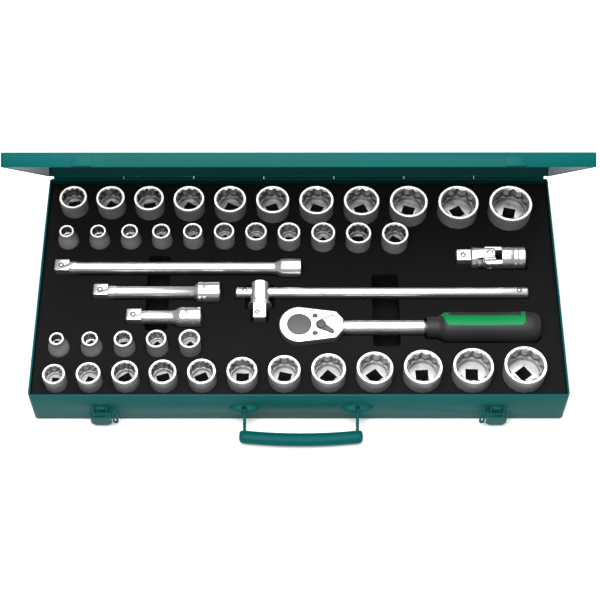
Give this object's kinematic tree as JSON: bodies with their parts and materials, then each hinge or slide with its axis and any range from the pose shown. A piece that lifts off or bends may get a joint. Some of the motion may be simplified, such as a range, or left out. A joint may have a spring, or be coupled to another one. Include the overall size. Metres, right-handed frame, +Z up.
{
  "type": "socket wrench set in case",
  "caption": "Hinged sheet-metal case of drive sockets with a ratchet, extension bars, a sliding T-handle and a universal joint, each lifting out of a fitted foam tray.",
  "frame": {"origin": "middle of the case's flat underside", "axes": "+X along the hinge to the right as the open case faces the user, +Y towards the hinge, +Z up"},
  "size_m": [0.5362, 0.3077, 0.2777],
  "materials": {
    "teal_paint": "glossy enamel on pressed steel sheet",
    "chrome": "satin chrome plate on chrome-vanadium steel",
    "bright_steel": "bright zinc-plated steel",
    "foam": "fine closed-cell foam, matt",
    "grip_rubber": "dark moulded grip, lightly textured",
    "dark_steel": "blackened steel"
  },
  "bodies": {
    "case": {"case_tray": "teal_paint", "foam_insert": "foam", "hinge_pin": "bright_steel"},
    "lid": {"case_lid": "teal_paint"},
    "handle": {"carry_handle": "teal_paint"},
    "latch_lever_left": {"latch_lever_left": "teal_paint"},
    "latch_link_left": {"latch_link_left": "teal_paint"},
    "latch_lever_right": {"latch_lever_right": "teal_paint"},
    "latch_link_right": {"latch_link_right": "teal_paint"},
    "socket_10mm": {"socket_10mm": "chrome"},
    "socket_11_16in": {"socket_11_16in": "chrome"},
    "socket_11mm": {"socket_11mm": "chrome"},
    "socket_12mm": {"socket_12mm": "chrome"},
    "socket_13_16in": {"socket_13_16in": "chrome"},
    "socket_13mm": {"socket_13mm": "chrome"},
    "socket_14mm": {"socket_14mm": "chrome"},
    "socket_15_16in": {"socket_15_16in": "chrome"},
    "socket_15mm": {"socket_15mm": "chrome"},
    "socket_16mm": {"socket_16mm": "chrome"},
    "socket_17_16in": {"socket_17_16in": "chrome"},
    "socket_17mm": {"socket_17mm": "chrome"},
    "socket_18mm": {"socket_18mm": "chrome"},
    "socket_19_16in": {"socket_19_16in": "chrome"},
    "socket_19_32in": {"socket_19_32in": "chrome"},
    "socket_19mm": {"socket_19mm": "chrome"},
    "socket_1_1in": {"socket_1_1in": "chrome"},
    "socket_1_2in": {"socket_1_2in": "chrome"},
    "socket_20mm": {"socket_20mm": "chrome"},
    "socket_21mm": {"socket_21mm": "chrome"},
    "socket_22mm": {"socket_22mm": "chrome"},
    "socket_23mm": {"socket_23mm": "chrome"},
    "socket_24mm": {"socket_24mm": "chrome"},
    "socket_25_32in": {"socket_25_32in": "chrome"},
    "socket_25mm": {"socket_25mm": "chrome"},
    "socket_26mm": {"socket_26mm": "chrome"},
    "socket_27mm": {"socket_27mm": "chrome"},
    "socket_28mm": {"socket_28mm": "chrome"},
    "socket_30mm": {"socket_30mm": "chrome"},
    "socket_32mm": {"socket_32mm": "chrome"},
    "socket_34mm": {"socket_34mm": "chrome"},
    "socket_3_4in": {"socket_3_4in": "chrome"},
    "socket_3_8in": {"socket_3_8in": "chrome"},
    "socket_5_4in": {"socket_5_4in": "chrome"},
    "socket_5_8in": {"socket_5_8in": "chrome"},
    "socket_7_16in": {"socket_7_16in": "chrome"},
    "socket_7_8in": {"socket_7_8in": "chrome"},
    "socket_9_16in": {"socket_9_16in": "chrome"},
    "socket_9_8in": {"socket_9_8in": "chrome"},
    "extension_long": {"extension_long": "chrome"},
    "extension_medium": {"extension_medium": "chrome"},
    "extension_short": {"extension_short": "chrome"},
    "t_handle_bar": {"t_handle_bar": "chrome"},
    "t_handle_slider": {"t_handle_slider": "chrome"},
    "ratchet": {"ratchet_body": "chrome", "ratchet_grip": "grip_rubber"},
    "ratchet_lever": {"ratchet_lever": "dark_steel"},
    "ratchet_drive": {"ratchet_drive": "dark_steel"},
    "joint_yoke_drive": {"joint_yoke_drive": "chrome"},
    "joint_cross": {"joint_cross": "bright_steel"},
    "joint_yoke_socket": {"joint_yoke_socket": "chrome"}
  },
  "joints": [
    {"name": "lid_hinge", "type": "hinge", "parent": "case", "child": "lid", "pos_m": [0, 0.1335, 0.05], "axis": [-1, 0, 0], "range_deg": [-56, 50]},
    {"name": "handle_hinge", "type": "hinge", "parent": "case", "child": "handle", "pos_m": [0.0022, -0.134, 0.024], "axis": [-1, 0, 0], "range_deg": [0, 115]},
    {"name": "latch_lever_left_hinge", "type": "hinge", "parent": "case", "child": "latch_lever_left", "pos_m": [-0.1975, -0.1372, 0.0231], "axis": [-1, 0, 0], "range_deg": [0, 105]},
    {"name": "latch_link_left_hinge", "type": "hinge", "parent": "case", "child": "latch_link_left", "pos_m": [-0.1975, -0.1372, 0.0231], "axis": [-1, 0, 0], "range_deg": [-10, 105]},
    {"name": "latch_lever_right_hinge", "type": "hinge", "parent": "case", "child": "latch_lever_right", "pos_m": [0.1975, -0.1372, 0.0231], "axis": [-1, 0, 0], "range_deg": [0, 105]},
    {"name": "latch_link_right_hinge", "type": "hinge", "parent": "case", "child": "latch_link_right", "pos_m": [0.1975, -0.1372, 0.0231], "axis": [-1, 0, 0], "range_deg": [-10, 105]},
    {"name": "socket_10mm_lift", "type": "slide", "parent": "case", "child": "socket_10mm", "axis": [0, 0, 1], "range_m": [0, 0.024]},
    {"name": "socket_11_16in_lift", "type": "slide", "parent": "case", "child": "socket_11_16in", "axis": [0, 0, 1], "range_m": [0, 0.024]},
    {"name": "socket_11mm_lift", "type": "slide", "parent": "case", "child": "socket_11mm", "axis": [0, 0, 1], "range_m": [0, 0.024]},
    {"name": "socket_12mm_lift", "type": "slide", "parent": "case", "child": "socket_12mm", "axis": [0, 0, 1], "range_m": [0, 0.024]},
    {"name": "socket_13_16in_lift", "type": "slide", "parent": "case", "child": "socket_13_16in", "axis": [0, 0, 1], "range_m": [0, 0.024]},
    {"name": "socket_13mm_lift", "type": "slide", "parent": "case", "child": "socket_13mm", "axis": [0, 0, 1], "range_m": [0, 0.024]},
    {"name": "socket_14mm_lift", "type": "slide", "parent": "case", "child": "socket_14mm", "axis": [0, 0, 1], "range_m": [0, 0.024]},
    {"name": "socket_15_16in_lift", "type": "slide", "parent": "case", "child": "socket_15_16in", "axis": [0, 0, 1], "range_m": [0, 0.026]},
    {"name": "socket_15mm_lift", "type": "slide", "parent": "case", "child": "socket_15mm", "axis": [0, 0, 1], "range_m": [0, 0.024]},
    {"name": "socket_16mm_lift", "type": "slide", "parent": "case", "child": "socket_16mm", "axis": [0, 0, 1], "range_m": [0, 0.024]},
    {"name": "socket_17_16in_lift", "type": "slide", "parent": "case", "child": "socket_17_16in", "axis": [0, 0, 1], "range_m": [0, 0.028]},
    {"name": "socket_17mm_lift", "type": "slide", "parent": "case", "child": "socket_17mm", "axis": [0, 0, 1], "range_m": [0, 0.024]},
    {"name": "socket_18mm_lift", "type": "slide", "parent": "case", "child": "socket_18mm", "axis": [0, 0, 1], "range_m": [0, 0.024]},
    {"name": "socket_19_16in_lift", "type": "slide", "parent": "case", "child": "socket_19_16in", "axis": [0, 0, 1], "range_m": [0, 0.03]},
    {"name": "socket_19_32in_lift", "type": "slide", "parent": "case", "child": "socket_19_32in", "axis": [0, 0, 1], "range_m": [0, 0.024]},
    {"name": "socket_19mm_lift", "type": "slide", "parent": "case", "child": "socket_19mm", "axis": [0, 0, 1], "range_m": [0, 0.024]},
    {"name": "socket_1_1in_lift", "type": "slide", "parent": "case", "child": "socket_1_1in", "axis": [0, 0, 1], "range_m": [0, 0.027]},
    {"name": "socket_1_2in_lift", "type": "slide", "parent": "case", "child": "socket_1_2in", "axis": [0, 0, 1], "range_m": [0, 0.024]},
    {"name": "socket_20mm_lift", "type": "slide", "parent": "case", "child": "socket_20mm", "axis": [0, 0, 1], "range_m": [0, 0.024]},
    {"name": "socket_21mm_lift", "type": "slide", "parent": "case", "child": "socket_21mm", "axis": [0, 0, 1], "range_m": [0, 0.025]},
    {"name": "socket_22mm_lift", "type": "slide", "parent": "case", "child": "socket_22mm", "axis": [0, 0, 1], "range_m": [0, 0.025]},
    {"name": "socket_23mm_lift", "type": "slide", "parent": "case", "child": "socket_23mm", "axis": [0, 0, 1], "range_m": [0, 0.026]},
    {"name": "socket_24mm_lift", "type": "slide", "parent": "case", "child": "socket_24mm", "axis": [0, 0, 1], "range_m": [0, 0.026]},
    {"name": "socket_25_32in_lift", "type": "slide", "parent": "case", "child": "socket_25_32in", "axis": [0, 0, 1], "range_m": [0, 0.024]},
    {"name": "socket_25mm_lift", "type": "slide", "parent": "case", "child": "socket_25mm", "axis": [0, 0, 1], "range_m": [0, 0.027]},
    {"name": "socket_26mm_lift", "type": "slide", "parent": "case", "child": "socket_26mm", "axis": [0, 0, 1], "range_m": [0, 0.027]},
    {"name": "socket_27mm_lift", "type": "slide", "parent": "case", "child": "socket_27mm", "axis": [0, 0, 1], "range_m": [0, 0.028]},
    {"name": "socket_28mm_lift", "type": "slide", "parent": "case", "child": "socket_28mm", "axis": [0, 0, 1], "range_m": [0, 0.029]},
    {"name": "socket_30mm_lift", "type": "slide", "parent": "case", "child": "socket_30mm", "axis": [0, 0, 1], "range_m": [0, 0.03]},
    {"name": "socket_32mm_lift", "type": "slide", "parent": "case", "child": "socket_32mm", "axis": [0, 0, 1], "range_m": [0, 0.031]},
    {"name": "socket_34mm_lift", "type": "slide", "parent": "case", "child": "socket_34mm", "axis": [0, 0, 1], "range_m": [0, 0.032]},
    {"name": "socket_3_4in_lift", "type": "slide", "parent": "case", "child": "socket_3_4in", "axis": [0, 0, 1], "range_m": [0, 0.024]},
    {"name": "socket_3_8in_lift", "type": "slide", "parent": "case", "child": "socket_3_8in", "axis": [0, 0, 1], "range_m": [0, 0.024]},
    {"name": "socket_5_4in_lift", "type": "slide", "parent": "case", "child": "socket_5_4in", "axis": [0, 0, 1], "range_m": [0, 0.031]},
    {"name": "socket_5_8in_lift", "type": "slide", "parent": "case", "child": "socket_5_8in", "axis": [0, 0, 1], "range_m": [0, 0.024]},
    {"name": "socket_7_16in_lift", "type": "slide", "parent": "case", "child": "socket_7_16in", "axis": [0, 0, 1], "range_m": [0, 0.024]},
    {"name": "socket_7_8in_lift", "type": "slide", "parent": "case", "child": "socket_7_8in", "axis": [0, 0, 1], "range_m": [0, 0.025]},
    {"name": "socket_9_16in_lift", "type": "slide", "parent": "case", "child": "socket_9_16in", "axis": [0, 0, 1], "range_m": [0, 0.024]},
    {"name": "socket_9_8in_lift", "type": "slide", "parent": "case", "child": "socket_9_8in", "axis": [0, 0, 1], "range_m": [0, 0.029]},
    {"name": "extension_long_lift", "type": "slide", "parent": "case", "child": "extension_long", "axis": [0, 0, 1], "range_m": [0, 0.022]},
    {"name": "extension_medium_lift", "type": "slide", "parent": "case", "child": "extension_medium", "axis": [0, 0, 1], "range_m": [0, 0.022]},
    {"name": "extension_short_lift", "type": "slide", "parent": "case", "child": "extension_short", "axis": [0, 0, 1], "range_m": [0, 0.022]},
    {"name": "t_handle_bar_lift", "type": "slide", "parent": "case", "child": "t_handle_bar", "axis": [0, 0, 1], "range_m": [0, 0.022]},
    {"name": "t_handle_slide", "type": "slide", "parent": "t_handle_bar", "child": "t_handle_slider", "axis": [1, 0, 0], "range_m": [-0.0025, 0.0025]},
    {"name": "ratchet_lift", "type": "slide", "parent": "case", "child": "ratchet", "axis": [0, 0, 1], "range_m": [0, 0.034]},
    {"name": "ratchet_lever_hinge", "type": "hinge", "parent": "ratchet", "child": "ratchet_lever", "pos_m": [0.0226, -0.0504, 0.045], "axis": [0, 0, 1], "range_deg": [0, 72]},
    {"name": "ratchet_drive_turn", "type": "hinge", "parent": "ratchet", "child": "ratchet_drive", "pos_m": [0.0004, -0.0504, 0.045], "axis": [0, 0, 1], "continuous": true},
    {"name": "joint_yoke_drive_lift", "type": "slide", "parent": "case", "child": "joint_yoke_drive", "axis": [0, 0, 1], "range_m": [0, 0.022]},
    {"name": "joint_upright_pin", "type": "hinge", "parent": "joint_yoke_drive", "child": "joint_cross", "pos_m": [0.1982, 0.0332, 0.045], "axis": [0, 0, 1], "range_deg": [-2, 2]},
    {"name": "joint_level_pin", "type": "hinge", "parent": "joint_cross", "child": "joint_yoke_socket", "pos_m": [0.1982, 0.0332, 0.045], "axis": [0, -1, 0], "range_deg": [0, 45]}
  ]
}
